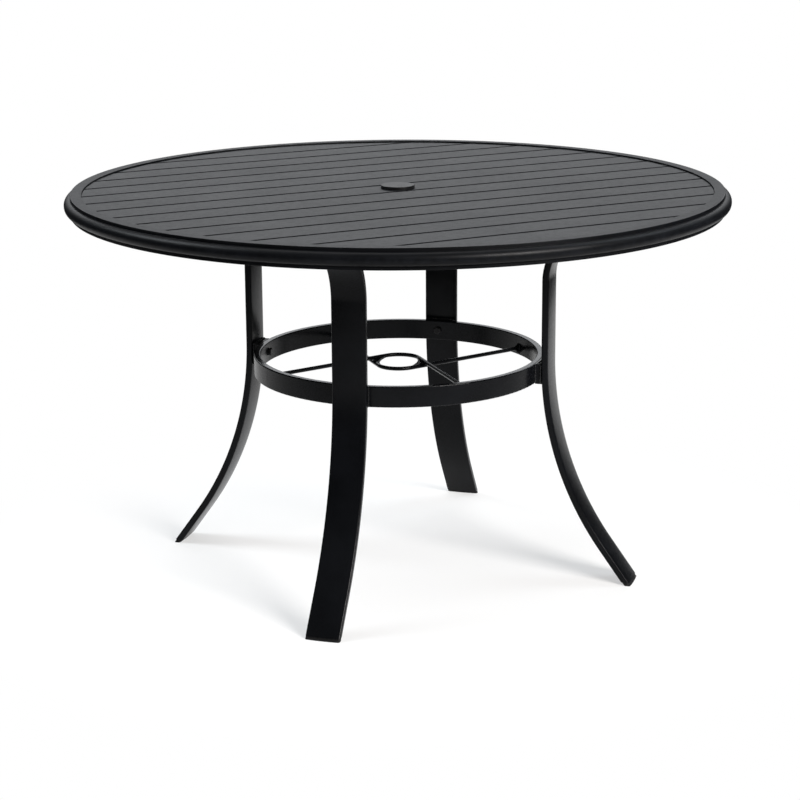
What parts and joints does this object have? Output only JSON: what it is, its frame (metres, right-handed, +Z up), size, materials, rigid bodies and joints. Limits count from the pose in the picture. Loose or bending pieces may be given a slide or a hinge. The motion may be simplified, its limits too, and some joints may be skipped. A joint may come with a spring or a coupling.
{
  "type": "round patio dining table",
  "caption": "Round slat-top outdoor dining table with a profiled rim, bent flat-tube legs, a tie hoop and a capped umbrella hole with crossed pole guides.",
  "frame": {"origin": "on the floor under the middle of the top", "axes": "+Z up, +X along the slats, legs at 45 degrees to X and Y"},
  "size_m": [1.219, 1.219, 0.7266],
  "materials": {
    "powder_coat": "fine-textured satin black powder coat on aluminium",
    "coated_rod": "satin black powder coat on steel rod",
    "ring_plastic": "moulded black plastic, satin",
    "cap_plastic": "moulded black plastic, fine grain",
    "glide_plastic": "moulded black plastic, matt",
    "bolt_steel": "black-coated steel"
  },
  "bodies": {
    "table": {"rim_frame": "powder_coat", "slat_01": "powder_coat", "slat_02": "powder_coat", "slat_03": "powder_coat", "slat_04": "powder_coat", "slat_05": "powder_coat", "slat_06": "powder_coat", "slat_07": "powder_coat", "slat_08": "powder_coat", "slat_09": "powder_coat", "slat_10": "powder_coat", "slat_11": "powder_coat", "slat_12": "powder_coat", "slat_13": "powder_coat", "slat_14": "powder_coat", "slat_15": "powder_coat", "cross_rail_left": "powder_coat", "cross_rail_right": "powder_coat", "leg_front_left": "powder_coat", "leg_front_right": "powder_coat", "leg_back_right": "powder_coat", "leg_back_left": "powder_coat", "leg_plate_front_left": "powder_coat", "leg_plate_front_right": "powder_coat", "leg_plate_back_right": "powder_coat", "leg_plate_back_left": "powder_coat", "hoop_spacer_front_left": "powder_coat", "hoop_spacer_front_right": "powder_coat", "hoop_spacer_back_right": "powder_coat", "hoop_spacer_back_left": "powder_coat", "hoop": "powder_coat", "pole_guide_lower": "coated_rod", "pole_guide_upper": "coated_rod", "foot_glide_front_left": "glide_plastic", "foot_glide_front_right": "glide_plastic", "foot_glide_back_right": "glide_plastic", "foot_glide_back_left": "glide_plastic", "hoop_bolts": "bolt_steel", "leg_plate_bolts": "bolt_steel", "umbrella_ring": "ring_plastic"},
    "cap": {"umbrella_cap": "cap_plastic"}
  },
  "joints": [
    {"name": "cap_lift", "type": "slide", "parent": "table", "child": "cap", "axis": [0, 0, 1], "range_m": [0, 0.06]}
  ]
}
